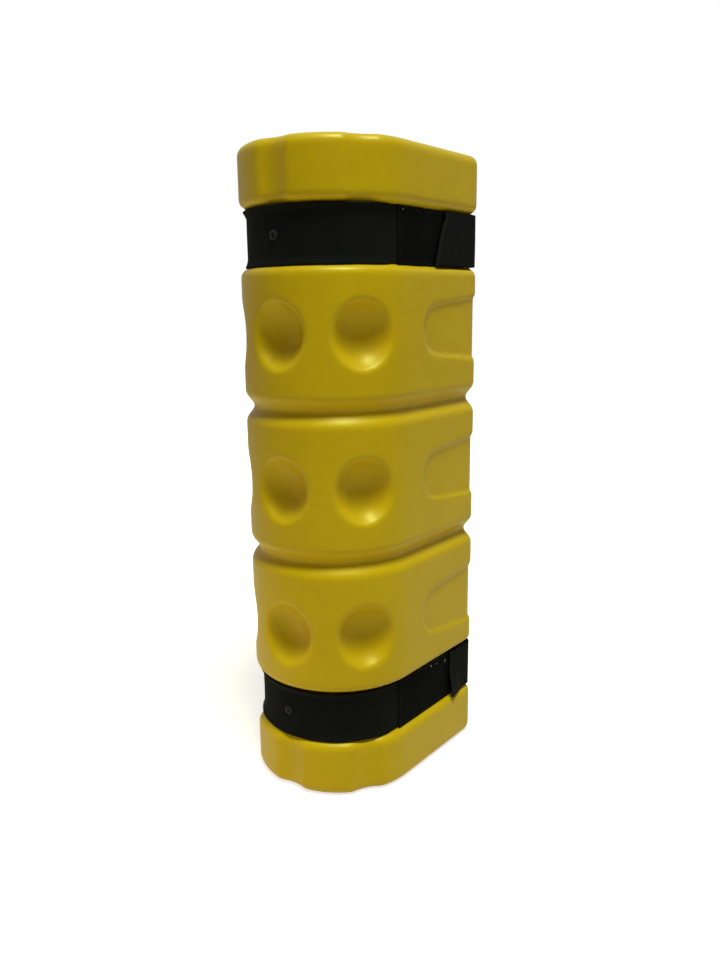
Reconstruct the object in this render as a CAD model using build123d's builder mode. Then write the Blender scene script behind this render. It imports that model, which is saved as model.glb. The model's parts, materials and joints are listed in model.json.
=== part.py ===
"""Rack upright protector: a hollow moulded guard that two hook-and-loop straps tie to a rack's post.

The nose of the guard faces -Y, the channel for the post opens towards +Y, and the guard stands on
Z = 0 with the origin under the middle of its overall box. All sizes are in millimetres.
"""

import os
from math import cos, radians, sin, tan

from build123d import *

# Overall size of the guard and its plan: a round nose, flared sides and a flat back
height = 610.0
depth = 211.6
nose_radius = 87.0
side_flare = 3.3
back_corner = 16.0
wall = 4.0

# Channel at the back that takes the post
channel_width = 112.0
channel_depth = 105.0
channel_corner = 6.0
channel_mouth = 12.0

# Bands: a plain band at each end, a strap recess next to it, and a middle cut by two grooves
end_band = 54.2
end_round = 9.0
recess_height = 53.2
recess_depth = 9.0
back_recess = 4.8
lip_round = 7.5
groove_depth = 8.2
groove_flank = 40.0
groove_lip = 11.0
groove_root = 6.0

# Round dishes in the nose, three columns of three, and the shallow flutes in line with them.
# The end share is the part of the middle's height from its end to the nearest row of dishes. Each dish sits
# a little below the middle of its band, by the drop.
column_angle = 54.2
dish_end_share = 0.14524
dish_drop = 2.0
dish_radius = 35.9
dish_depth = 17.8
dish_rim = 5.0
flute_radius = 40.0
flute_depth = 4.4
flute_blend = 14.0

# Shallow panels on the sides of the middle bands: round at the front, wider towards the back, and
# carried round the back corners
panel_setback = 26.5
panel_front_radius = 24.5
panel_flare = 5.8
panel_depth = 2.2

# Straps: 50 mm webbing, a sewn-on hook patch, and a tail that closes over it
strap_width = 50.0
strap_thickness = 2.0
strap_seat_gap = 0.2
patch_thickness = 2.0
patch_extra = 1.2
patch_end_gap = 8.0
patch_lead = 7.0
layer_gap = 0.3
upper_tail_reach = 68.0
upper_tail_slant = 16.5
lower_tail_reach = 36.0
lower_tail_slant = 2.0

# Screws that hold the straps to the guard
screw_angle = 2.6
screw_head_radius = 4.6
screw_head_height = 2.4
screw_head_rim = 0.9
screw_shank_radius = 2.4
screw_length = 18.0
screw_tip = 3.0
cross_length = 4.6
cross_width = 0.9
cross_depth = 1.3
screw_hole_gap = 0.05
strap_hole_gap = 0.35
boss_radius = 7.0

# Room that cutting shapes take past the faces they cut
overcut = 6.0
near_tangent = 0.15

# Values that follow from the sizes above
flare_sin = sin(radians(side_flare))
flare_cos = cos(radians(side_flare))
nose_y = -depth / 2 + nose_radius
back_y = depth / 2
mid_z = height / 2
middle_height = height - 2 * (end_band + recess_height)
dish_pitch = middle_height * (0.5 - dish_end_share)
groove_offset = dish_pitch / 2
strap_mid = end_band + recess_height / 2
strap_inner = recess_depth - strap_seat_gap
strap_outer = strap_inner - strap_thickness
tail_inner = strap_outer - patch_thickness - layer_gap
tail_outer = tail_inner - strap_thickness
bend_outer = back_corner - strap_outer
bend_inner = bend_outer - strap_thickness
strap_line_y = back_y - (tail_inner + tail_outer) / 2
hinge_gap = strap_thickness / 2 + layer_gap


def corner_centre(side_inset, rear_inset, corner):
    """Centre of the right back corner of the plan outline at the given insets."""
    y = back_y - rear_inset - corner
    x = (nose_radius - side_inset - corner + flare_sin * (y - nose_y)) / flare_cos
    return x, y


swing_x = -corner_centre(strap_outer, tail_outer, bend_outer)[0]
peel_x, bend_y = corner_centre(tail_outer, tail_outer, bend_outer)


def side_point(inset, ahead):
    """Point on the right side, a distance ahead of the back corner, at an inset from the surface."""
    x, y = corner_centre(0, 0, back_corner)
    out = back_corner - inset
    return x + out * flare_cos - ahead * flare_sin, y - out * flare_sin - ahead * flare_cos


def side_length():
    """Length of the flat of the side, from the end of the nose to the start of the back corner."""
    corner_y = corner_centre(0, 0, back_corner)[1]
    return (corner_y - nose_y + (nose_radius - back_corner) * flare_sin) / flare_cos


def side_plane(side, inset, z):
    """Plane on the right (1) or left (-1) side where the back corner starts, facing out, X to the back."""
    x, y = side_point(inset, 0)
    rearward = (side * flare_sin, flare_cos, 0)
    outward = (side * flare_cos, -flare_sin, 0)
    return Plane((side * x, y, z), x_dir=rearward, z_dir=outward)


def plan_outline(side_inset, rear_inset, corner, mode=Mode.ADD):
    """Face of the plan: nose arc, flared sides and back, drawn in the current sketch."""
    nose = nose_radius - side_inset
    corner_x, corner_y = corner_centre(side_inset, rear_inset, corner)
    turn = 90 + side_flare
    with BuildLine() as edges:
        nose_arc = CenterArc((0, nose_y), nose, 180 + side_flare, 180 - 2 * side_flare)
        right = CenterArc((corner_x, corner_y), corner, -side_flare, turn)
        left = CenterArc((-corner_x, corner_y), corner, 90, turn)
        Line(nose_arc @ 1, right @ 0)
        Line(right @ 1, left @ 0)
        Line(left @ 1, nose_arc @ 0)
    make_face(edges.edges(), mode=mode)


def channel_prism(skin):
    """Upright channel for the post, with its rounded mouth, grown by the skin thickness."""
    half = channel_width / 2 + skin
    floor_y = back_y - channel_depth - skin
    mouth_y = back_y - skin
    corner = channel_corner + skin
    mouth = channel_mouth - skin
    ledge = half + 2 * mouth
    with BuildPart() as channel:
        with BuildSketch(Plane.XY.offset(-overcut)):
            with BuildLine():
                right_floor = CenterArc((half - corner, floor_y + corner), corner, -90, 90)
                left_floor = CenterArc((corner - half, floor_y + corner), corner, 180, 90)
                right_mouth = CenterArc((half + mouth, mouth_y - mouth), mouth, 180, -90)
                left_mouth = CenterArc((-half - mouth, mouth_y - mouth), mouth, 90, -90)
                Line(left_floor @ 1, right_floor @ 0)
                Line(right_floor @ 1, right_mouth @ 0)
                Polyline(right_mouth @ 1, (ledge, mouth_y), (ledge, mouth_y + overcut),
                         (-ledge, mouth_y + overcut), (-ledge, mouth_y), left_mouth @ 0)
                Line(left_mouth @ 1, left_floor @ 0)
            make_face()
        extrude(amount=height + 2 * overcut)
    return channel.part


def column_places(radius):
    """Points at a radius about the nose's axis, one on each column of dishes."""
    angles = [radians(column * column_angle) for column in (-1, 0, 1)]
    return [(radius * sin(angle), nose_y - radius * cos(angle)) for angle in angles]


def end_block(skin):
    """Bottom band: fluted, with a large round at its end and a small one at the strap's recess."""
    flute_seat = nose_y - nose_radius * flare_sin
    with BuildPart() as block:
        with BuildSketch(Plane.XY.offset(skin)) as plan:
            plan_outline(skin, skin, back_corner - skin)
            with Locations(*column_places(nose_radius + flute_radius - flute_depth)):
                Circle(flute_radius + skin, mode=Mode.SUBTRACT)
            flute_edges = plan.vertices().filter_by(lambda v: v.Y < flute_seat - near_tangent)
            fillet(flute_edges, flute_blend)
        extrude(amount=end_band - 2 * skin)
        fillet(block.faces().sort_by(Axis.Z)[-1].edges(), lip_round)
        add(channel_prism(skin), mode=Mode.SUBTRACT)
        fillet(block.faces().sort_by(Axis.Z)[0].edges(), end_round - skin)
    return block.part


def groove_tool(skin):
    """Rounded V that runs round the guard, grown by the skin thickness, at the height of the origin."""
    slope = radians(groove_flank)
    spread = 1 / cos(slope) - 1
    half_height = (groove_depth + groove_root * spread + skin * spread) / tan(slope)
    apex = half_height * tan(slope) + skin
    run = half_height + groove_lip
    face = near_tangent - skin
    lip = groove_lip - skin
    corner_x, corner_y = corner_centre(0, 0, back_corner)
    start = channel_width / 2
    turn = 90 + side_flare
    with BuildPart() as groove:
        with BuildLine() as route:
            left = CenterArc((-corner_x, corner_y), back_corner, 90, turn)
            nose_arc = CenterArc((0, nose_y), nose_radius, 180 + side_flare, 180 - 2 * side_flare)
            right = CenterArc((corner_x, corner_y), back_corner, -side_flare, turn)
            Line((-start, back_y), left @ 0)
            Line(left @ 1, nose_arc @ 0)
            Line(nose_arc @ 1, right @ 0)
            Line(right @ 1, (start, back_y))
        with BuildSketch(Plane((-start, back_y, 0), x_dir=(0, 1, 0), z_dir=(1, 0, 0))):
            with BuildLine():
                profile = FilletPolyline((face, -run), (face, -half_height), (face - apex, 0),
                                         (face, half_height), (face, run),
                                         radius=(lip, groove_root + skin, lip))
                Polyline(profile @ 1, (overcut, run), (overcut, -run), profile @ 0)
            make_face()
        sweep(path=route.wires()[0])
    return groove.part


def panel_tool(side, skin):
    """Shallow panel along one side and round its back corner, grown by the skin thickness."""
    floor = panel_depth + skin
    radius = panel_front_radius + skin
    lean_sin = sin(radians(panel_flare))
    lean_cos = cos(radians(panel_flare))
    centre = panel_setback + panel_front_radius - side_length()
    rear = 2 * back_corner
    rear_half = (radius + (rear - centre) * lean_sin) / lean_cos
    with BuildPart() as panel:
        with BuildSketch(Plane.XY.offset(mid_z - rear_half)):
            plan_outline(-overcut, -overcut, back_corner + overcut)
            plan_outline(floor, floor, back_corner - floor, mode=Mode.SUBTRACT)
        extrude(amount=2 * rear_half)
        with BuildSketch(side_plane(1, -overcut, mid_z)):
            with BuildLine():
                front = CenterArc((centre, 0), radius, 90 + panel_flare, 180 - 2 * panel_flare)
                Polyline(front @ 1, (rear, -rear_half), (rear, rear_half), front @ 0)
            make_face()
        extrude(amount=-nose_radius, mode=Mode.INTERSECT)
    return panel.part if side > 0 else panel.part.mirror(Plane.YZ)


def middle_block(skin):
    """Middle of the guard: two grooves, three columns of dishes and a row of panels on each side."""
    base = end_band + recess_height + skin
    with BuildPart() as block:
        with BuildSketch(Plane.XY.offset(base)):
            plan_outline(skin, skin, back_corner - skin)
        extrude(amount=height - 2 * base)
        fillet(block.faces().sort_by(Axis.Z)[0].edges(), lip_round)
        fillet(block.faces().sort_by(Axis.Z)[-1].edges(), lip_round)
        with Locations((0, 0, mid_z - groove_offset), (0, 0, mid_z + groove_offset)):
            add(groove_tool(skin), mode=Mode.SUBTRACT)
        places = column_places(nose_radius + dish_radius - dish_depth)
        dish_mid = mid_z - dish_drop
        with Locations(*[(x, y, dish_mid + row * dish_pitch) for x, y in places for row in (-1, 0, 1)]):
            Sphere(dish_radius + skin, mode=Mode.SUBTRACT)
        for side in (-1, 1):
            with Locations(*[(0, 0, row * dish_pitch) for row in (-1, 0, 1)]):
                add(panel_tool(side, skin), mode=Mode.SUBTRACT)
        add(channel_prism(skin), mode=Mode.SUBTRACT)
    return block.part


def waist_block(skin):
    """Necked part behind the lower strap, reaching into the bands above and below it."""
    floor = recess_depth + skin
    base = end_band / 2
    top = end_band + recess_height + skin + overcut
    with BuildPart() as block:
        with BuildSketch(Plane.XY.offset(base)):
            plan_outline(floor, back_recess + skin, back_corner - floor)
        extrude(amount=top - base)
        add(channel_prism(skin), mode=Mode.SUBTRACT)
    return block.part


def moulded_form(skin):
    """Whole moulding, drawn in by the skin thickness: the middle, two necks and two end bands."""
    with BuildPart() as form:
        add(middle_block(skin))
        for piece in (waist_block(skin), end_block(skin)):
            add(piece)
            add(piece.mirror(Plane.XY.offset(mid_z)))
    return form.part


def screw_plane(inset, z):
    """Plane at a screw, square to the nose, at an inset from the guard's surface and facing outwards."""
    angle = radians(screw_angle)
    outward = (-sin(angle), -cos(angle), 0)
    radius = nose_radius - inset
    return Plane((outward[0] * radius, nose_y + outward[1] * radius, z), x_dir=(0, 0, 1), z_dir=outward)


os.makedirs("parts", exist_ok=True)
strap_heights = {"upper": height - strap_mid, "lower": strap_mid}
tail_reaches = {"upper": upper_tail_reach, "lower": lower_tail_reach}
tail_slants = {"upper": upper_tail_slant, "lower": lower_tail_slant}

# Guard: one hollow moulding with a boss behind each screw
with BuildPart() as guard_body:
    add(moulded_form(0))
    fillet(guard_body.faces().filter_by(GeomType.SPHERE).edges(), dish_rim)
    add(moulded_form(wall), mode=Mode.SUBTRACT)
    for z in strap_heights.values():
        with Locations(screw_plane(recess_depth + wall / 2, z)):
            Cylinder(boss_radius, screw_length, align=(Align.CENTER, Align.CENTER, Align.MAX))
        with Locations(screw_plane(recess_depth, z)):
            Hole(screw_shank_radius + screw_hole_gap, screw_length)
guard_body.part.label = "guard_body"
export_step(guard_body.part, "parts/guard_body.step")
print("guard_body", round(guard_body.part.volume / 1000), "cm3")

for name, z in strap_heights.items():
    strap_base = z - strap_width / 2

    # Front of the strap: from the left back corner, round the nose, to the short end on the right side
    with BuildPart() as strap_front:
        with BuildSketch(Plane.XY.offset(strap_base)):
            plan_outline(strap_outer, tail_outer, bend_outer)
            plan_outline(strap_inner, tail_inner, bend_inner, mode=Mode.SUBTRACT)
            with Locations((swing_x - hinge_gap, bend_y)):
                Rectangle(2 * depth, depth, align=(Align.MIN, Align.MIN), mode=Mode.SUBTRACT)
            with Locations(side_point(strap_inner, patch_end_gap)):
                Rectangle(4 * recess_depth, 4 * back_corner, rotation=-side_flare,
                          align=(Align.CENTER, Align.MIN), mode=Mode.SUBTRACT)
        extrude(amount=strap_width)
        with Locations(screw_plane(0, z)):
            Hole(screw_shank_radius + strap_hole_gap, recess_depth + overcut)
    strap_front.part.label = f"{name}_strap_front"
    export_step(strap_front.part, f"parts/{name}_strap_front.step")

    # Hook patch, sewn to the outside of the short end, a little wider than the strap
    with BuildPart(side_plane(1, strap_outer, z)) as hook_patch:
        with Locations((-patch_end_gap, -patch_extra / 2)):
            Box(side_length() + patch_lead - patch_end_gap, strap_width + patch_extra, patch_thickness,
                align=(Align.MAX, Align.CENTER, Align.MIN))
    hook_patch.part.label = f"{name}_hook_patch"
    export_step(hook_patch.part, f"parts/{name}_hook_patch.step")

    # Rear of the strap: straight across the mouth of the channel, behind the post
    with BuildPart() as strap_rear:
        with BuildSketch(Plane.XY.offset(strap_base)):
            with Locations((swing_x, strap_line_y)):
                Rectangle(peel_x - hinge_gap - swing_x, strap_thickness, align=(Align.MIN, Align.CENTER))
                Circle(strap_thickness / 2)
        extrude(amount=strap_width)
    strap_rear.part.label = f"{name}_strap_rear"
    export_step(strap_rear.part, f"parts/{name}_strap_rear.step")

    # Tail: round the right back corner and forwards over the hook patch, to its free end
    with BuildPart() as strap_tail:
        with BuildSketch(Plane.XY.offset(strap_base)):
            plan_outline(tail_outer, tail_outer, bend_outer)
            plan_outline(tail_inner, tail_inner, bend_inner, mode=Mode.SUBTRACT)
            Rectangle(2 * depth, 2 * depth, align=(Align.MAX, Align.CENTER), mode=Mode.SUBTRACT)
            with Locations((peel_x, bend_y)):
                Rectangle(2 * depth, depth, align=(Align.MAX, Align.MIN), mode=Mode.SUBTRACT)
            with Locations(side_point(tail_inner, tail_reaches[name])):
                Rectangle(4 * depth, 2 * depth, rotation=-side_flare,
                          align=(Align.CENTER, Align.MAX), mode=Mode.SUBTRACT)
            with Locations((peel_x, strap_line_y)):
                Circle(strap_thickness / 2)
        extrude(amount=strap_width)
        with BuildSketch(side_plane(1, tail_outer, z)):
            front = -tail_reaches[name]
            with BuildLine():
                Polyline((front, -strap_width / 2), (front + tail_slants[name], strap_width / 2),
                         (front - overcut, strap_width / 2), (front - overcut, -strap_width / 2),
                         close=True)
            make_face()
        extrude(amount=overcut, both=True, mode=Mode.SUBTRACT)
    strap_tail.part.label = f"{name}_strap_tail"
    export_step(strap_tail.part, f"parts/{name}_strap_tail.step")

    # Self-tapping screw with a low round head and a cross recess
    seat = screw_plane(strap_outer, z)
    dome_rise = screw_head_height - screw_head_rim
    dome_radius = (screw_head_radius**2 + dome_rise**2) / (2 * dome_rise)
    with BuildPart() as screw:
        with BuildSketch(Plane(seat.origin, x_dir=seat.z_dir, z_dir=seat.y_dir)):
            with BuildLine():
                rim = Polyline((screw_head_height, 0), (-screw_length, 0),
                               (screw_tip - screw_length, screw_shank_radius), (0, screw_shank_radius),
                               (0, screw_head_radius), (screw_head_rim, screw_head_radius))
                RadiusArc(rim @ 1, rim @ 0, dome_radius)
            make_face()
        revolve(axis=Axis(seat.origin, seat.z_dir))
        with Locations(seat.offset(screw_head_height)):
            Box(cross_length, cross_width, 2 * cross_depth, mode=Mode.SUBTRACT)
            Box(cross_width, cross_length, 2 * cross_depth, mode=Mode.SUBTRACT)
    screw.part.label = f"{name}_screw"
    export_step(screw.part, f"parts/{name}_screw.step")
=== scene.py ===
# %% [markdown]
# # Rack upright protector
# A yellow hollow moulding shields the foot of a storage rack's post, and two black hook-and-loop
# straps tie it on. The imported model already holds every piece at its true size and place, in
# metres. This lesson dresses it: a softened plastic shell, woven straps laid in lengths that meet at
# their hinges, hook tape, screws, then a white studio.

# %% Load the imported model
import json
import math

import bmesh
import bpy
import numpy as np
from mathutils import Matrix, Vector, noise

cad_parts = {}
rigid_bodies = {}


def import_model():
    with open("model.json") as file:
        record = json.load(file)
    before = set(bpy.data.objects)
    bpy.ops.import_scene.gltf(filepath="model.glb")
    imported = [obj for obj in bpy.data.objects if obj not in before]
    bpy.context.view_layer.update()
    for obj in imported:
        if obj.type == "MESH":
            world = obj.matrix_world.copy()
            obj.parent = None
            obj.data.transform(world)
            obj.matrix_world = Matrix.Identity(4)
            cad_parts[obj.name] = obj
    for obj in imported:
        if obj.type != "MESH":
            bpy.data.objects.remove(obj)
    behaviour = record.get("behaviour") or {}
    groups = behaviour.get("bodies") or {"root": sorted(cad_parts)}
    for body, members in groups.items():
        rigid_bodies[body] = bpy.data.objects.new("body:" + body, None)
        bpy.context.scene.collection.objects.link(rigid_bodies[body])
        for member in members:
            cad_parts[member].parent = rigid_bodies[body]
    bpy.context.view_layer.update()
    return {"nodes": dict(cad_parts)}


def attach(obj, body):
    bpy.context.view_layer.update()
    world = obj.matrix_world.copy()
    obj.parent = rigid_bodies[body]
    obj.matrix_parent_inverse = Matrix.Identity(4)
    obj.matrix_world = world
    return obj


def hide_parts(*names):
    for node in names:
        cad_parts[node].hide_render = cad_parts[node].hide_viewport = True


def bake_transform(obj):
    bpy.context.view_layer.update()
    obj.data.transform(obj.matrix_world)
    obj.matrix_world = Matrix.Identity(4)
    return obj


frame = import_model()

print("packed nodes:", sorted(frame["nodes"]))

# %% [markdown]
# ## Camera
# The photograph was taken from close by, above the middle and well to the right of the nose, so
# the upright edges lean together towards the floor. A shifted lens could fake that lean, but the
# shift would stay in every other view, so a wide lens is set at the same point instead. The focal
# length is in pixels of a 720 by 960 picture, and Blender fits the sensor's width to the longer
# side.

# %% Camera at the photograph's viewpoint
focal_pixels = 817.6
picture_height = 960.0
sensor = 36.0
eye = Vector((0.4804, -0.6630, 0.4672))
azimuth, pitch, roll = (math.radians(angle) for angle in (35.063, 11.959, -0.697))
ahead = Vector((-math.sin(azimuth), math.cos(azimuth), 0.0))
forward = ahead * math.cos(pitch) - Vector((0.0, 0.0, math.sin(pitch)))
level = Vector((math.cos(azimuth), math.sin(azimuth), 0.0))
upright = level.cross(forward)
right = level * math.cos(roll) + upright * math.sin(roll)
up = upright * math.cos(roll) - level * math.sin(roll)

bpy.ops.object.camera_add()
camera = bpy.context.object
camera.data.sensor_width = sensor
camera.data.lens = focal_pixels * sensor / picture_height
turn = Matrix((right, up, -forward)).transposed().to_4x4()
camera.matrix_world = Matrix.Translation(eye) @ turn
bpy.context.scene.camera = camera
print("lens", round(camera.data.lens, 2), "mm")

# %% [markdown]
# ## Sizes that the straps follow
# The straps run round the guard's plan: a round nose, two straight sides and two rounded back
# corners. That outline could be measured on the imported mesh, but a few named sizes are easier to
# read and to check, so the ones that shaped the solids are repeated here. An inset is how deep the
# middle of the webbing lies below the guard's surface.

# %% Plan of the guard
nose_radius = 0.087
nose_y = -0.0188
flare = math.radians(3.3)
back_y = 0.1058
back_corner = 0.016
side_normal = Vector((math.cos(flare), -math.sin(flare)))
side_forward = Vector((-math.sin(flare), -math.cos(flare)))
print("guard from nose to back", round((back_y - nose_y + nose_radius) * 1000, 1), "mm")

# %% Place of the straps in the plan
bend_y = 0.0941
bend_radius = 0.0082
swing_x = -0.077628
peel_x = 0.081935
screw_angle = math.radians(2.6)
strap_inset = 0.0078
tail_inset = 0.0035
strap_half = 0.025
strap_thickness = 0.002
strap_heights = {"upper": 0.5292, "lower": 0.0808}
tail_top_reach = {"upper": 0.0515, "lower": 0.034}
tail_bottom_reach = {"upper": 0.068, "lower": 0.036}
print("hinges", round((peel_x - swing_x) * 1000), "mm apart, straps at", strap_heights)

# %% [markdown]
# ## A clean start for each piece
# An operator acts on all that is selected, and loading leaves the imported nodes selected. One small
# helper clears the selection and makes one object active, and another applies the modifiers in the
# order they were added.

# %% Selection and modifier helpers
def only(piece):
    """Select one piece and make it active."""
    bpy.ops.object.select_all(action="DESELECT")
    piece.select_set(True)
    bpy.context.view_layer.objects.active = piece


def apply_modifiers(piece):
    """Apply every modifier of a piece, first to last."""
    only(piece)
    for modifier in list(piece.modifiers):
        bpy.ops.object.modifier_apply(modifier=modifier.name)


# %% [markdown]
# ## Guard: soften the moulding
# The real guard is polyethylene: every edge is rolled over a little and the flats are never quite
# flat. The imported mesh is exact, and a bevel could round its lips, but a bevel breaks up on long
# thin triangles. So a copy is merged, its unseen inner wall is deleted, and the outer skin is
# remeshed in even voxels and smoothed. That rounds the panel steps and lips without moving the
# form. Decimate then drops the faces that the flats don't need.

# %% Copy the guard's outer skin
packed_guard = frame["nodes"]["guard_body"]
guard = bpy.data.objects.new("guard_moulding", packed_guard.data.copy())
bpy.context.scene.collection.objects.link(guard)
guard.data.materials.clear()
only(guard)
bpy.ops.object.mode_set(mode="EDIT")
bpy.ops.mesh.select_all(action="SELECT")
bpy.ops.mesh.remove_doubles(threshold=0.00001)
bpy.ops.mesh.select_all(action="DESELECT")
bpy.ops.object.mode_set(mode="OBJECT")
foremost = min(guard.data.vertices, key=lambda v: v.co.y)
foremost.select = True
bpy.ops.object.mode_set(mode="EDIT")
bpy.ops.mesh.select_linked()
bpy.ops.mesh.select_all(action="INVERT")
bpy.ops.mesh.delete(type="VERT")
bpy.ops.object.mode_set(mode="OBJECT")
print("outer skin", len(guard.data.vertices), "vertices")

# %% Even voxels, then smoothing
remesh = guard.modifiers.new("even voxels", "REMESH")
remesh.mode = "VOXEL"
remesh.voxel_size = 0.0022
relax = guard.modifiers.new("rolled edges", "SMOOTH")
relax.factor = 0.5
relax.iterations = 2
lighten = guard.modifiers.new("fewer faces", "DECIMATE")
lighten.ratio = 0.62
apply_modifiers(guard)
bpy.ops.object.shade_smooth()
print("softened guard", len(guard.data.polygons), "faces")

# %% [markdown]
# ## Guard: rims that wear and hollows that go darker
# Rubbed rims go paler, and the yellow is made darker in hollows. Both could be painted by hand, but
# the mesh already knows where they are: how far each vertex stands out from its neighbours tells the
# two apart. That measure is smoothed and kept as an attribute for the plastic to read.

# %% Average over neighbours
def spread(values, first, second, rounds):
    """Average a value per vertex with its neighbours, several times over."""
    size = len(values)
    count = np.bincount(np.concatenate((first, second)), minlength=size)
    for _ in range(rounds):
        total = np.bincount(first, values[second], size) + np.bincount(second, values[first], size)
        values = 0.5 * values + 0.5 * total / np.maximum(count, 1)
    return values


# %% Measure rims and hollows
wide_rounds = 14
blur_rounds = 3
full_relief = 0.0011
clear_mark = 0.3


def mark_relief(piece):
    """Store how much each vertex stands proud (rim) or lies deep (hollow), from 0 to 1."""
    mesh = piece.data
    place = np.empty(len(mesh.vertices) * 3)
    facing = np.empty(len(mesh.vertices) * 3)
    ends = np.empty(len(mesh.edges) * 2, dtype=np.int64)
    mesh.vertices.foreach_get("co", place)
    mesh.vertices.foreach_get("normal", facing)
    mesh.edges.foreach_get("vertices", ends)
    place, facing, ends = place.reshape(-1, 3), facing.reshape(-1, 3), ends.reshape(-1, 2)
    first, second = ends[:, 0], ends[:, 1]
    around = [spread(place[:, k].copy(), first, second, wide_rounds) for k in range(3)]
    proud = ((place - np.stack(around, axis=1)) * facing).sum(axis=1)
    proud = spread(proud, first, second, blur_rounds)
    rim = np.clip(proud / full_relief, 0.0, 1.0)
    hollow = np.clip(-proud / full_relief, 0.0, 1.0)
    for name, values in (("rim", rim), ("hollow", hollow)):
        layer = mesh.attributes.new(name, "FLOAT", "POINT")
        layer.data.foreach_set("value", values.astype(np.float32))
        print(name, "on", int((values > clear_mark).sum()), "vertices")


mark_relief(guard)

# %% [markdown]
# ## Yellow plastic
# Moulded polyethylene is satin: a warm yellow with faint clouds in it, a fine pebbled skin, a few
# scratches, and paler rims. A picture of plastic could be wrapped round it, but it would show a
# seam. Noise on object coordinates has none, so it gives the clouds, a stretched noise gives the
# scratches, and the attributes from the last step place the wear. A few helpers come first,
# because each finish in this lesson is built from the same small set of nodes.

# %% Start a material
def start_material(name):
    """New node material with an empty tree, a shader and its output."""
    material = bpy.data.materials.new(name)
    material.use_nodes = True
    tree = material.node_tree
    tree.nodes.clear()
    shader = tree.nodes.new("ShaderNodeBsdfPrincipled")
    output = tree.nodes.new("ShaderNodeOutputMaterial")
    tree.links.new(shader.outputs["BSDF"], output.inputs["Surface"])
    return material, tree, shader


# %% Patterns: clouds, stretched coordinates and attributes
def cloud(tree, source, scale, detail=3.0, roughness=0.55):
    """Noise on a coordinate socket; gives its factor."""
    texture = tree.nodes.new("ShaderNodeTexNoise")
    texture.inputs["Scale"].default_value = scale
    texture.inputs["Detail"].default_value = detail
    texture.inputs["Roughness"].default_value = roughness
    tree.links.new(source, texture.inputs["Vector"])
    return texture.outputs["Fac"]


def stretched(tree, source, scale, turn):
    """Coordinates scaled unevenly and turned, for grain and scratches."""
    node = tree.nodes.new("ShaderNodeMapping")
    node.inputs["Scale"].default_value = scale
    node.inputs["Rotation"].default_value = turn
    tree.links.new(source, node.inputs["Vector"])
    return node.outputs["Vector"]


def attribute(tree, name):
    """Value of a mesh attribute."""
    node = tree.nodes.new("ShaderNodeAttribute")
    node.attribute_name = name
    return node.outputs["Fac"]


# %% Values: ranges and sums
def ramp(tree, source, low, high, first=0.0, last=1.0):
    """Map a range of a value to another range, clamped."""
    node = tree.nodes.new("ShaderNodeMapRange")
    ends = (("From Min", low), ("From Max", high), ("To Min", first), ("To Max", last))
    for socket, value in ends:
        node.inputs[socket].default_value = value
    tree.links.new(source, node.inputs["Value"])
    return node.outputs["Result"]


def combine(tree, operation, one, two):
    """Math on two values; either may be a plain number."""
    node = tree.nodes.new("ShaderNodeMath")
    node.operation = operation
    for socket, value in zip(node.inputs, (one, two)):
        if isinstance(value, (int, float)):
            socket.default_value = value
        else:
            tree.links.new(value, socket)
    return node.outputs[0]


# %% Colour mixes and raised skin
def tint(tree, amount, one, two):
    """Mix two colours, each a socket or a tuple, by an amount."""
    node = tree.nodes.new("ShaderNodeMix")
    node.data_type = "RGBA"
    tree.links.new(amount, node.inputs["Factor"])
    for socket, value in ((node.inputs[6], one), (node.inputs[7], two)):
        if isinstance(value, tuple):
            socket.default_value = (*value, 1.0)
        else:
            tree.links.new(value, socket)
    return node.outputs[2]


def raise_skin(tree, height, distance, strength, below=None):
    """Bump from a height; another bump may lie below it."""
    node = tree.nodes.new("ShaderNodeBump")
    node.inputs["Distance"].default_value = distance
    node.inputs["Strength"].default_value = strength
    tree.links.new(height, node.inputs["Height"])
    if below is not None:
        tree.links.new(below, node.inputs["Normal"])
    return node.outputs["Normal"]


# %% Yellow with faint clouds
deep_yellow = (0.560, 0.349, 0.0012)
light_yellow = (0.612, 0.384, 0.0020)
mottled_yellow = (0.545, 0.335, 0.0016)

plastic, tree, shader = start_material("yellow_moulded_plastic")
place = tree.nodes.new("ShaderNodeTexCoord").outputs["Object"]
clouds = ramp(tree, cloud(tree, place, 11.0), 0.3, 0.7)
mottle = ramp(tree, cloud(tree, place, 90.0, 4.0), 0.35, 0.65)
yellow = tint(tree, clouds, deep_yellow, light_yellow)
yellow = tint(tree, combine(tree, "MULTIPLY", mottle, 0.35), yellow, mottled_yellow)
print("yellow from", deep_yellow, "to", light_yellow)

# %% Darker yellow in hollows, and rubbed rims
darker_hollow_yellow = (0.37, 0.235, 0.006)
rubbed_yellow = (0.66, 0.49, 0.02)

# The yellow goes darker in hollows, in cloudy patches, read from the hollow attribute.
hollow_patches = ramp(tree, cloud(tree, place, 26.0, 5.0), 0.3, 0.75, 0.1, 0.5)
hollow_darkening = combine(tree, "MULTIPLY", attribute(tree, "hollow"), hollow_patches)
yellow = tint(tree, hollow_darkening, yellow, darker_hollow_yellow)
rub = ramp(tree, cloud(tree, place, 60.0, 6.0), 0.45, 0.70, 0.0, 0.2)
rubbed = combine(tree, "MULTIPLY", attribute(tree, "rim"), rub)
yellow = tint(tree, rubbed, yellow, rubbed_yellow)
print("darker hollows and rubbed rims on", plastic.name)

# %% Scratches and specks
scratch_yellow = (0.68, 0.5, 0.09)
speck_brown = (0.2, 0.11, 0.01)
scratch_stretch = (620.0, 620.0, 22.0)
scratch_turn = (0.25, 0.1, 0.0)

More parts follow.
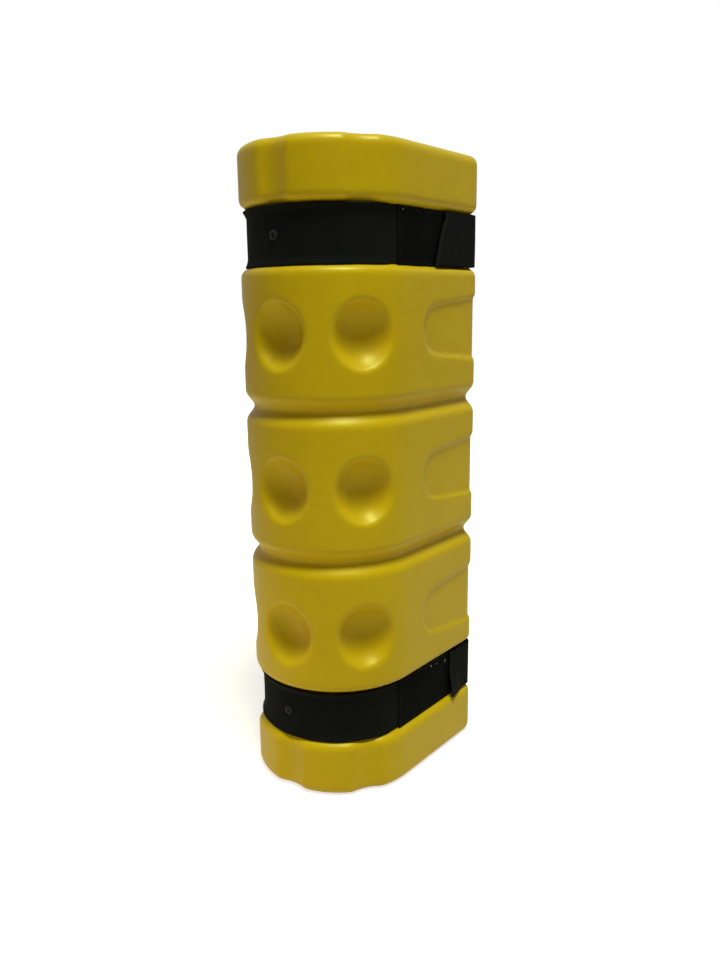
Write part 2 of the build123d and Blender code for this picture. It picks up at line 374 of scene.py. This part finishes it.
scratch_lines = cloud(tree, stretched(tree, place, scratch_stretch, scratch_turn), 1.0, 2.0)
scratch_patch = ramp(tree, cloud(tree, place, 17.0, 2.0), 0.52, 0.66)
scratches = combine(tree, "MULTIPLY", ramp(tree, scratch_lines, 0.68, 0.74), scratch_patch)
yellow = tint(tree, combine(tree, "MULTIPLY", scratches, 0.4), yellow, scratch_yellow)
specks = ramp(tree, cloud(tree, place, 420.0, 2.0), 0.735, 0.765)
yellow = tint(tree, combine(tree, "MULTIPLY", specks, 0.55), yellow, speck_brown)
tree.links.new(yellow, shader.inputs["Base Color"])
print("scratches and specks on", plastic.name)

# %% Satin, pebbled skin
satin = ramp(tree, cloud(tree, place, 34.0, 4.0), 0.3, 0.7, 0.36, 0.44)
satin = combine(tree, "ADD", satin, combine(tree, "MULTIPLY", scratches, 0.15))
tree.links.new(satin, shader.inputs["Roughness"])
shader.inputs["Specular IOR Level"].default_value = 0.40
shader.inputs["Specular Tint"].default_value = (1.0, 0.97, 0.35, 1.0)
waves = raise_skin(tree, cloud(tree, place, 24.0, 1.5), 0.004, 0.12)
pebbles = raise_skin(tree, cloud(tree, place, 900.0, 3.0), 0.0004, 0.18, waves)
cuts = raise_skin(tree, combine(tree, "MULTIPLY", scratches, -1.0), 0.0002, 0.3, pebbles)
tree.links.new(cuts, shader.inputs["Normal"])
guard.data.materials.append(plastic)
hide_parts("guard_body")
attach(guard, "guard")
print("guard dressed in", plastic.name)

# %% [markdown]
# ## Straps: lay flat webbing along the plan
# Each strap is one length of 50 mm webbing. Its short end starts on the right side, it runs
# forward round the nose, back along the left side, round the left back corner and across the back,
# and its tail closes over the short end. It is laid in three lengths that meet at its two bends.
# A curve with a flat section could make such a strip, but the weave would stretch in the corners.
# So a flat grid is added and every vertex of it is set along the path, and the weave follows the
# grid's own flat coordinates. Thickness comes from Solidify, and a small bevel rounds the edges.

# %% Runs and corners of a path
def straight(start, along, length, outward):
    """Straight run: point and outward direction at a distance from its start."""
    return length, lambda d: (start + along * d, outward)


def corner(centre, radius, begin, sweep):
    """Arc that runs clockwise seen from above."""
    length = radius * sweep

    def at(d):
        angle = begin - d / radius
        outward = Vector((math.cos(angle), math.sin(angle)))
        return centre + outward * radius, outward

    return length, at


def walk(path, distance):
    """Point and outward direction at a distance along a path of runs and arcs."""
    for length, at in path:
        if distance <= length:
            return at(distance)
        distance -= length
    return path[-1][1](path[-1][0])


def path_length(path):
    """Length of all the runs and arcs of a path."""
    return sum(length for length, at in path)


# %% Path of the front length
short_end = 0.008
nose_centre = Vector((0.0, nose_y))
strap_nose = nose_radius - strap_inset
right_flat = nose_centre + side_normal * strap_nose
left_normal = Vector((-side_normal.x, side_normal.y))
left_flat = nose_centre + left_normal * strap_nose
left_rearward = Vector((-math.sin(flare), math.cos(flare)))
left_bend = Vector((swing_x, bend_y))
left_run = (left_bend + left_normal * bend_radius - left_flat).length
flat_rise = back_y - back_corner - nose_y + (nose_radius - back_corner) * math.sin(flare)
flat_length = flat_rise / math.cos(flare)
right_run = flat_length - short_end
side_begin = -flare
nose_sweep = math.pi - 2 * flare
bend_sweep = math.pi / 2 + flare
front_path = [
    straight(right_flat - side_forward * right_run, side_forward, right_run, side_normal),
    corner(nose_centre, strap_nose, side_begin, nose_sweep),
    straight(left_flat, left_rearward, left_run, left_normal),
    corner(left_bend, bend_radius, side_begin - nose_sweep, bend_sweep),
]
screw_distance = right_run + strap_nose * (math.pi / 2 - flare + screw_angle)
print("front length", round(path_length(front_path) * 1000), "mm")

# %% Paths of the back and the tail
rear_line = back_y - tail_inset
rear_start = Vector((swing_x, rear_line))
rear_path = [straight(rear_start, Vector((1.0, 0.0)), peel_x - swing_x, Vector((0.0, 1.0)))]
tail_centre = Vector((peel_x, bend_y))
tail_start = tail_centre + side_normal * bend_radius
tail_bend = corner(tail_centre, bend_radius, math.pi / 2, bend_sweep)
print("back length", round(path_length(rear_path) * 1000), "mm")

# %% Set a flat grid along a path
rows_across = 24
row_pitch = 0.0025
ripple_height = 0.0002
fray_height = 0.0004
lip_cover = 0.0009
lip_lift = 0.001
sag_from = 0.6
fray_band = (0.005, 0.001)


def ease(low, high, value):
    """Smooth step from 0 at low to 1 at high."""
    t = min(max((value - low) / (high - low), 0.0), 1.0)
    return t * t * (3.0 - 2.0 * t)


def flat_strip(name, length):
    """Flat grid with enough rows for a length; its map is named flat."""
    bpy.ops.object.select_all(action="DESELECT")
    bpy.ops.mesh.primitive_grid_add(
        x_subdivisions=int(length / row_pitch), y_subdivisions=rows_across, size=1.0, calc_uvs=True)
    strip = bpy.context.object
    strip.name = name
    strip.data.uv_layers.active.name = "flat"
    return strip


def follow(strip, path, height, reach, lift, frayed):
    """Set a flat strip along a path up to a reach, lifted off it; its map becomes flat metres."""
    cut_end = strip.data.attributes.new("cut_end", "FLOAT", "POINT")
    spots = []
    for vertex in strip.data.vertices:
        across = vertex.co.y * 2.0
        limit = reach(across)
        distance = (vertex.co.x + 0.5) * limit
        point, outward = walk(path, distance)
        rise = lift(distance, across)
        waver = Vector((distance * 22.0, across * 1.1, height * 9.0))
        uneven = Vector((distance * 45.0, 3.0 * across, height))
        spot = point + outward * (ripple_height * noise.noise(waver) + rise)
        fray = fray_height * noise.noise(uneven) * abs(across)
        over_lip = max(0.0, (-across - sag_from) / (1.0 - sag_from))
        sag = max(0.0, lip_cover * over_lip * min(rise / lip_lift, 1.0))
        vertex.co = (spot.x, spot.y, height + across * strap_half + fray - sag)
        cut_end.data[vertex.index].value = frayed * ease(*fray_band, limit - distance)
        spots.append((distance, across * strap_half))
    flat = strip.data.uv_layers["flat"]
    for loop in strip.data.loops:
        flat.data[loop.index].uv = spots[loop.vertex_index]


# %% Lay one length of webbing
def thicken(strip):
    """Give a strip its thickness and rounded edges, with its faces outwards."""
    solid = strip.modifiers.new("webbing thickness", "SOLIDIFY")
    solid.thickness = strap_thickness
    solid.offset = 0.0
    rounded = strip.modifiers.new("rounded edges", "BEVEL")
    rounded.width = 0.0005
    rounded.segments = 2
    rounded.limit_method = "ANGLE"
    rounded.angle_limit = math.radians(50)
    apply_modifiers(strip)
    bpy.ops.object.mode_set(mode="EDIT")
    bpy.ops.mesh.select_all(action="SELECT")
    bpy.ops.mesh.normals_make_consistent(inside=False)
    bpy.ops.object.mode_set(mode="OBJECT")
    bpy.ops.object.shade_smooth_by_angle(angle=math.radians(40))


def lay_webbing(name, path, height, reach, lift, frayed=0.0):
    """One length of webbing along a path; frayed is how pale its cut end is."""
    strip = flat_strip(name, path_length(path))
    follow(strip, path, height, reach, lift, frayed)
    thicken(strip)
    print(name, round(path_length(path) * 1000), "mm long,", len(strip.data.polygons), "faces")
    return strip


# %% [markdown]
# ## Black webbing
# The webbing is brushed nylon loop: very dark, soft, with the weave just showing through the pile.
# Its threads could be modelled, but there are thousands and none can be told apart from a step
# away. Two bands of waves across the flat coordinates make warp and weft, noise breaks them into
# pile, and a little sheen lights it at grazing angles. The tails catch more of the key lamp, so they
# take a darker copy of the same finish with less dust: painted shade that holds them as dark as the
# strap.

# %% Ribs of a weave
def ribs(tree, source, direction, scale):
    """Parallel ribs along a flat direction."""
    node = tree.nodes.new("ShaderNodeTexWave")
    node.bands_direction = direction
    node.inputs["Scale"].default_value = scale
    node.inputs["Distortion"].default_value = 1.2
    node.inputs["Detail"].default_value = 2.0
    node.inputs["Detail Scale"].default_value = 1.5
    tree.links.new(source, node.inputs["Vector"])
    return node.outputs["Fac"]


def grey(value):
    """Neutral colour of one value."""
    return (value, value, value)


# %% Black webbing, and a darker copy as painted shade
webbing_dust = (0.0105, 0.0100, 0.0090)
cut_grey = 0.018


def black_webbing(name, deep, pale, dusty):
    """Woven black nylon between a deep and a pale grey; dusty is the share of settled dust."""
    material, tree, shader = start_material(name)
    flat_map = tree.nodes.new("ShaderNodeUVMap")
    flat_map.uv_map = "flat"
    flat_place = flat_map.outputs["UV"]
    weft, warp = ribs(tree, flat_place, "Y", 230.0), ribs(tree, flat_place, "X", 310.0)
    weave = combine(tree, "MULTIPLY", weft, warp)
    pile = cloud(tree, flat_place, 1500.0, 4.0, 0.7)
    dust = ramp(tree, cloud(tree, flat_place, 45.0, 5.0), 0.45, 0.75, 0.0, dusty)
    black = tint(tree, weave, grey(deep), grey(pale))
    black = tint(tree, dust, black, webbing_dust)
    black = tint(tree, ramp(tree, pile, 0.6, 0.8, 0.0, 0.5), black, grey(pale * 1.2))
    cut = combine(tree, "MULTIPLY", attribute(tree, "cut_end"), 0.5)
    black = tint(tree, cut, black, grey(cut_grey))
    tree.links.new(black, shader.inputs["Base Color"])
    shader.inputs["Roughness"].default_value = 0.86
    shader.inputs["Specular IOR Level"].default_value = 0.05
    shader.inputs["Sheen Weight"].default_value = 0.012
    shader.inputs["Sheen Roughness"].default_value = 0.5
    woven = raise_skin(tree, weave, 0.0004, 0.5)
    tree.links.new(raise_skin(tree, pile, 0.0003, 0.45, woven), shader.inputs["Normal"])
    return material


webbing = black_webbing("black_brushed_webbing", 0.0040, 0.0125, 0.3)
# Darker copy for the tails: painted shade against the extra light they catch.
tail_webbing_painted_shade = black_webbing("black_webbing_painted_shade", 0.0026, 0.0058, 0.1)
print("webbing finishes:", webbing.name, tail_webbing_painted_shade.name)

# %% [markdown]
# ## Straps on the guard
# The recess is hardly wider than the webbing, so its upper and lower edges ride up and curl
# outwards, except under the stiff hook patch and across the back. At the screw the webbing is
# pulled in. The upper tail's end stands off a little, and the lower tail's bottom corner has come
# loose. A cloth simulation could find such shapes, but a small lift added to the path is easier to
# steer and comes out the same each time.

# %% Curled edges and the pucker at the screw
patch_lead = 0.007
patch_length = flat_length + patch_lead - short_end
left_bend_at = path_length(front_path[:3])
curl_height = {1: 0.0034, -1: 0.0024}
curl_band = 0.3
curl_fade = 0.03
pucker_depth = 0.0008
pucker_radius = 0.0075


def strap_lift(distance, across):
    """Curled edges round the nose and the left side, and a pucker at the screw."""
    starts = ease(patch_length, patch_length + curl_fade, distance)
    ends = ease(left_bend_at, left_bend_at - curl_fade, distance)
    edge = max(0.0, (abs(across) - (1.0 - curl_band)) / curl_band) ** 1.7
    uneven = 1.0 + 0.35 * noise.noise(Vector((distance * 30.0, across, 0.0)))
    curl = curl_height[1 if across > 0.0 else -1] * starts * ends * edge * uneven
    gap = math.hypot(distance - screw_distance, across * strap_half)
    return curl - pucker_depth * math.exp(-((gap / pucker_radius) ** 2))


def lies_flat(distance, across):
    """No lift, for the run across the back."""
    return 0.0


print("hook patch", round(patch_length * 1000), "mm long")

# %% How the tails end and stand off
square_from = 0.65
tail_curve = 0.7
end_lift = 0.0007
corner_lift = 0.005


def to_the_end(path):
    """Reach of a length that is cut square at the end of its path."""
    return lambda across: path_length(path)


def tail_reach(name):
    """Length of the tail at a height across it: square at the top, cut back on a curve."""
    top, bottom = tail_top_reach[name], tail_bottom_reach[name]

    def reach(across):
        below = max(0.0, (square_from - across) / (square_from + 1.0))
        return tail_bend[0] + top + (bottom - top) * below ** tail_curve

    return reach


def lifted_end(distance, across):
    """Lift of a tail whose end stands off evenly."""
    return end_lift * ease(0.05, 0.08, distance)


def loose_corner(distance, across):
    """Lift of a tail whose lower corner stands off."""
    return corner_lift * ease(0.022, 0.052, distance) * ease(0.4, -1.05, across)


tail_lift = {"upper": lifted_end, "lower": loose_corner}
print("tails reach", [round(tail_reach(name)(-1.0) * 1000, 1) for name in tail_lift], "mm")

# %% Straps and tails
spare_run = 0.002
for name, height in strap_heights.items():
    front = lay_webbing(f"{name}_webbing", front_path, height, to_the_end(front_path), strap_lift)
    front.data.materials.append(webbing)
    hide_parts(f"{name}_strap_front")
    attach(front, "guard")
    rear = lay_webbing(f"{name}_rear_webbing", rear_path, height, to_the_end(rear_path), lies_flat)
    rear.data.materials.append(webbing)
    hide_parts(f"{name}_strap_rear")
    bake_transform(rear)
    side_length = tail_bottom_reach[name] + spare_run
    tail_path = [tail_bend, straight(tail_start, side_forward, side_length, side_normal)]
    tail = lay_webbing(
        f"{name}_tail_webbing", tail_path, height, tail_reach(name), tail_lift[name], 1.0)
    tail.data.materials.append(tail_webbing_painted_shade)
    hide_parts(f"{name}_strap_tail")
    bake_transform(tail)

# %% [markdown]
# ## Hook patches
# Hook tape is a woven strip with rows of tiny bent hooks on its face and a bare border that is
# sewn down. Bump could stand for the hooks, but the open strap shows the tape from the side, where
# only real shapes stand out. So one hook is shaped from a cube by three extrusions, and two Array
# modifiers repeat it. One stitch is repeated the same way along each border. The parts are joined
# flat, then laid on the side of the strap.

# %% Tape helpers
def start_box(name, size, place):
    """Cube of a size, centred at a place."""
    bpy.ops.object.select_all(action="DESELECT")
    bpy.ops.mesh.primitive_cube_add(size=1.0, location=place)
    box = bpy.context.object
    box.name = name
    box.scale = size
    bpy.ops.object.transform_apply(location=True, rotation=False, scale=True)
    return box


def repeat(piece, count, step):
    """Repeat a piece in a row and apply it."""
    row = piece.modifiers.new("row", "ARRAY")
    row.use_relative_offset = False
    row.use_constant_offset = True
    row.constant_offset_displace = step
    row.count = count
    apply_modifiers(piece)


def soften_edges(piece, width):
    """Round every edge of a piece by a width."""
    rounding = piece.modifiers.new("soft edges", "BEVEL")
    rounding.width = width
    rounding.segments = 2
    apply_modifiers(piece)


# %% One bent hook
hook_foot = (0.0005, 0.00045, 0.0004)
hook_bends = (((0.0001, 0.0, 0.00035), 0.8),
              ((0.00035, 0.0, 0.00015), 0.8),
              ((0.0003, 0.0, -0.0002), 0.5))


def tape_hook(place):
    """One bent hook that stands on the tape."""
    hook = start_box("hook", hook_foot, place)
    bpy.ops.object.mode_set(mode="EDIT")
    mesh = bmesh.from_edit_mesh(hook.data)
    for face in mesh.faces:
        face.select_set(face.normal.z > 0.9)
    mesh.select_flush_mode()
    bmesh.update_edit_mesh(hook.data)
    for move, shrink in hook_bends:
        bpy.ops.mesh.extrude_region_move(TRANSFORM_OT_translate={"value": move})
        bpy.ops.transform.resize(value=(shrink, shrink, shrink))
    bpy.ops.object.mode_set(mode="OBJECT")
    return hook


# %% Places on the right side
def side_spot(ahead_of_corner, inset):
    """Plan point on the right side, ahead of the back corner, at an inset from the surface."""
    on_surface = right_flat + side_normal * (strap_inset - inset)
    return on_surface - side_forward * (flat_length - ahead_of_corner)


def side_turn(spot, height):
    """Matrix that lays a flat piece on the right side: X to the back, Y up, Z outwards."""
    columns = (-side_forward.to_3d(), Vector((0.0, 0.0, 1.0)), side_normal.to_3d())
    turn = Matrix(columns).transposed().to_4x4()
    return Matrix.Translation((spot.x, spot.y, height)) @ turn


# %% Hooks and stitches of a patch
tape_width = 0.0512
tape_thickness = 0.0011
tape_top = tape_thickness / 2.0
border = 0.0035
hook_pitch = 0.0019
stitch_pitch = 0.0034
stitch_length, stitch_width, stitch_height = 0.0023, 0.0006, 0.0005
stitch_round = 0.00018


def lay_hooks():
    """Field of hooks inside the border of the tape."""
    along = int((patch_length - 2.0 * border) / hook_pitch)
    rows = int((tape_width - 2.0 * border) / hook_pitch)
    first_x, first_y = -(along - 1) * hook_pitch / 2.0, -(rows - 1) * hook_pitch / 2.0
    hooks = tape_hook((first_x, first_y, tape_top))
    repeat(hooks, along, (hook_pitch, 0.0, 0.0))
    repeat(hooks, rows, (0.0, hook_pitch, 0.0))
    return hooks


def sew(first, size, step, seam):
    """Row of stitches from a first place along a seam."""
    stitch = start_box("stitch", size, first)
    soften_edges(stitch, stitch_round)
    repeat(stitch, int(seam / stitch_pitch), step)
    return stitch


# %% Make a hook patch
tape_drop = 0.0006


def make_hook_patch(name, height):
    """Sewn strip of hook tape on the right side of a strap."""
    tape = start_box(name, (patch_length, tape_width, tape_thickness), (0.0, 0.0, 0.0))
    soften_edges(tape, 0.0003)
    pieces = [lay_hooks()]
    seam_x, seam_y = (patch_length - border) / 2.0, (tape_width - border) / 2.0
    first_x, first_y = -seam_x + stitch_pitch / 2.0, -seam_y + stitch_pitch / 2.0
    long_stitch = (stitch_length, stitch_width, stitch_height)
    short_stitch = (stitch_width, stitch_length, stitch_height)
    for side in (-1.0, 1.0):
        first_long = (first_x, side * seam_y, tape_top)
        first_short = (side * seam_x, first_y, tape_top)
        pieces.append(sew(first_long, long_stitch, (stitch_pitch, 0.0, 0.0), 2.0 * seam_x))
        pieces.append(sew(first_short, short_stitch, (0.0, stitch_pitch, 0.0), 2.0 * seam_y))
    only(tape)
    for piece in pieces:
        piece.select_set(True)
    bpy.ops.object.join()
    tape_inset = strap_inset - strap_thickness / 2.0 - tape_top
    centre = side_spot(short_end + patch_length / 2.0, tape_inset)
    tape.data.transform(side_turn(centre, height - tape_drop))
    bpy.ops.object.shade_smooth_by_angle(angle=math.radians(40))
    print(name, len(tape.data.polygons), "faces")
    return tape


# %% Black hook tape
tape_dust = (0.010, 0.0096, 0.0088)

hook_tape, tree, shader = start_material("black_hook_tape")
place = tree.nodes.new("ShaderNodeTexCoord").outputs["Object"]
worn = ramp(tree, cloud(tree, place, 700.0, 4.0), 0.4, 0.7)
black = tint(tree, worn, (0.0024, 0.0024, 0.0025), (0.0058, 0.0058, 0.0060))
dust = ramp(tree, cloud(tree, place, 48.0, 5.0), 0.5, 0.75)
black = tint(tree, combine(tree, "MULTIPLY", dust, 0.35), black, tape_dust)
tree.links.new(black, shader.inputs["Base Color"])
dull = ramp(tree, cloud(tree, place, 260.0), 0.3, 0.7, 0.6, 0.8)
tree.links.new(dull, shader.inputs["Roughness"])
shader.inputs["Specular IOR Level"].default_value = 0.05
grain = raise_skin(tree, cloud(tree, place, 1600.0, 2.0), 0.0002, 0.4)
tree.links.new(grain, shader.inputs["Normal"])
print("tape finish:", hook_tape.name)

# %% Patches on the straps
for name, height in strap_heights.items():
    patch = make_hook_patch(f"{name}_hook_tape", height)
    patch.data.materials.append(hook_tape)
    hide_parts(f"{name}_hook_patch")
    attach(patch, "guard")

# %% [markdown]
# ## Lint
# Hook tape gathers fluff. A few pale crumbs sit in the hooks of the lower patch, and one thread
# end shows at the front of the upper patch. Pale specks in the tape's finish could stand for them,
# but crumbs stand proud of the hooks. So each starts as a small sphere of few faces, is flattened,
# and is then crumpled with noise. A crumb's place is its distance ahead of the back corner and its
# height, and its size is a radius.

# %% Crumbs in the hooks
lint_inset = 0.0047
lint_spots = (
    (0.0644, 0.1015, 0.0009), (0.0549, 0.1003, 0.0006), (0.0530, 0.1010, 0.0004),
    (0.0374, 0.0984, 0.0008), (0.0392, 0.0966, 0.0004), (0.0470, 0.0883, 0.0003),
    (0.1140, 0.5506, 0.0005),
)
crumbs = []
for ahead_of_corner, height, size in lint_spots:
    spot = side_spot(ahead_of_corner, lint_inset)
    middle = Vector((spot.x, spot.y, height))
    bpy.ops.object.select_all(action="DESELECT")
    bpy.ops.mesh.primitive_ico_sphere_add(subdivisions=2, radius=size, location=middle)
    crumb = bpy.context.object
    bpy.ops.object.transform_apply(location=True, rotation=False, scale=False)
    for vertex in crumb.data.vertices:
        away = vertex.co - middle
        rough = 1.0 + 0.7 * noise.noise(vertex.co * 2300.0)
        vertex.co = middle + Vector((away.x * 0.5, away.y * 0.8, away.z * 1.2)) * rough
    crumbs.append(crumb)
for crumb in crumbs:
    crumb.select_set(True)
bpy.ops.object.join()
lint = bpy.context.object
lint.name = "patch_lint"
print("lint crumbs", len(lint_spots))

# %% Pale lint
pale_lint, tree, shader = start_material("pale_lint")
place = tree.nodes.new("ShaderNodeTexCoord").outputs["Object"]
fluff = tint(tree, cloud(tree, place, 1800.0, 3.0), (0.30, 0.29, 0.26), (0.62, 0.60, 0.56))
tree.links.new(fluff, shader.inputs["Base Color"])
shader.inputs["Roughness"].default_value = 0.9
lint.data.materials.append(pale_lint)
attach(lint, "guard")
print("lint finish:", pale_lint.name)

# %% [markdown]
# ## Screws
# A black screw holds each strap. It could be modelled again, but the imported shape already has the
# low round head and the cross, so it stays. It takes a black finish that is a little worn, and only
# just brighter than the webbing. Ambient Occlusion finds the cross recess, and near-black is painted
# there as shade.

# %% Black screws
cross_reach = 0.0015
cross_painted_shade = 0.002

black_metal, tree, shader = start_material("black_screw_metal")
place = tree.nodes.new("ShaderNodeTexCoord").outputs["Object"]
worn = ramp(tree, cloud(tree, place, 900.0, 4.0), 0.5, 0.75)
metal = tint(tree, worn, (0.014, 0.014, 0.0142), (0.026, 0.026, 0.026))
# Painted shade: near-black where Ambient Occlusion finds the cross recess.
recess = tree.nodes.new("ShaderNodeAmbientOcclusion")
recess.inputs["Distance"].default_value = cross_reach
openness = ramp(tree, recess.outputs["AO"], 0.45, 0.9)
tree.links.new(tint(tree, openness, grey(cross_painted_shade), metal), shader.inputs["Base Color"])
coat = ramp(tree, cloud(tree, place, 500.0), 0.3, 0.7, 0.42, 0.6)
tree.links.new(coat, shader.inputs["Roughness"])
shader.inputs["Specular IOR Level"].default_value = 0.1
for name in strap_heights:
    packed = frame["nodes"][f"{name}_screw"]
    packed.data.materials.clear()
    packed.data.materials.append(black_metal)
print("screws finished in", black_metal.name)

# %% [markdown]
# ## Studio
# The photograph has a plain white ground and soft light from above. Brighter lamps could turn a
# floor white, but they would bleach the yellow too. So a wide pale floor and a dim world light the
# guard, and both show white to the camera and, by a share, in the gloss. The floor still takes the
# guard's shadow. One softbox high over the right front gives the lit lips and the shaded upper
# half of each dish, and a faint lamp by the floor at the left front lifts the foot of the nose.

# %% What the camera sees as white
def shown_white(tree, in_gloss):
    """One for rays that show the background: camera, through glass and, by a share, in gloss."""
    ray = tree.nodes.new("ShaderNodeLightPath")
    gloss = combine(tree, "MULTIPLY", ray.outputs["Is Glossy Ray"], in_gloss)
    seen = combine(tree, "MAXIMUM", ray.outputs["Is Camera Ray"], gloss)
    return combine(tree, "MAXIMUM", seen, ray.outputs["Is Transmission Ray"])


# %% Floor
floor_size = 14.0
floor_drop = 0.0004
floor_colour = (0.84, 0.765, 0.66, 1.0)
near_glow, far_glow = 0.7, 1.0

bpy.ops.object.select_all(action="DESELECT")
bpy.ops.mesh.primitive_plane_add(size=floor_size, location=(0.0, 0.0, -floor_drop))
floor = bpy.context.object
floor.name = "studio_floor"
ground = bpy.data.materials.new("white_floor")
ground.use_nodes = True
tree = ground.node_tree
tree.nodes.clear()
matte = tree.nodes.new("ShaderNodeBsdfDiffuse")
matte.inputs["Color"].default_value = floor_colour
glow = tree.nodes.new("ShaderNodeEmission")
distance = tree.nodes.new("ShaderNodeVectorMath")
distance.operation = "LENGTH"
tree.links.new(tree.nodes.new("ShaderNodeTexCoord").outputs["Object"], distance.inputs[0])
glow_share = ramp(tree, distance.outputs["Value"], 0.35, 1.1, near_glow, far_glow)
seen_glow = combine(tree, "MULTIPLY", shown_white(tree, 0.2), glow_share)
tree.links.new(seen_glow, glow.inputs["Strength"])
both = tree.nodes.new("ShaderNodeAddShader")
output = tree.nodes.new("ShaderNodeOutputMaterial")
tree.links.new(matte.outputs[0], both.inputs[0])
tree.links.new(glow.outputs[0], both.inputs[1])
tree.links.new(both.outputs[0], output.inputs["Surface"])
floor.data.materials.append(ground)
print("floor", floor_size, "m wide")

# %% World
world = bpy.data.worlds.new("studio")
bpy.context.scene.world = world
world.use_nodes = True
tree = world.node_tree
tree.nodes.clear()
soft = tree.nodes.new("ShaderNodeBackground")
soft.inputs["Color"].default_value = (1.0, 0.80, 0.58, 1.0)
soft.inputs["Strength"].default_value = 0.08
white = tree.nodes.new("ShaderNodeBackground")
white.inputs["Color"].default_value = (1.0, 1.0, 1.0, 1.0)
mix = tree.nodes.new("ShaderNodeMixShader")
output = tree.nodes.new("ShaderNodeOutputWorld")
tree.links.new(shown_white(tree, 0.5), mix.inputs["Fac"])
tree.links.new(soft.outputs[0], mix.inputs[1])
tree.links.new(white.outputs[0], mix.inputs[2])
tree.links.new(mix.outputs[0], output.inputs["Surface"])
bpy.context.scene.view_settings.view_transform = "Standard"
print("world", world.name)

# %% Lamps
def soft_lamp(name, spot, target, size, power, colour):
    """Square area lamp that faces a point."""
    bpy.ops.object.light_add(type="AREA", location=spot)
    lamp = bpy.context.object
    lamp.name = name
    lamp.data.size = size
    lamp.data.energy = power
    lamp.data.color = colour
    lamp.rotation_euler = (target - spot).to_track_quat("-Z", "Y").to_euler()
    return lamp


guard_middle = Vector((0.0, 0.0, 0.3))
key_azimuth, key_elevation, key_distance = math.radians(57.0), math.radians(72.0), 3.5
key_side = Vector((math.sin(key_azimuth), -math.cos(key_azimuth), 0.0))
key_way = key_side * math.cos(key_elevation) + Vector((0.0, 0.0, math.sin(key_elevation)))
key_spot = guard_middle + key_way * key_distance
soft_lamp("key", key_spot, guard_middle, 0.95, 136.0, (0.84, 1.0, 0.78))
fill_spot, fill_target = Vector((-0.24, -0.34, 0.06)), Vector((0.0, -0.06, -0.08))
low_fill = soft_lamp("low_fill", fill_spot, fill_target, 0.2, 0.3, (1.0, 0.93, 0.82))
low_fill.visible_glossy = False
low_fill.visible_camera = False
print("key lamp at", [round(c, 2) for c in key_spot])
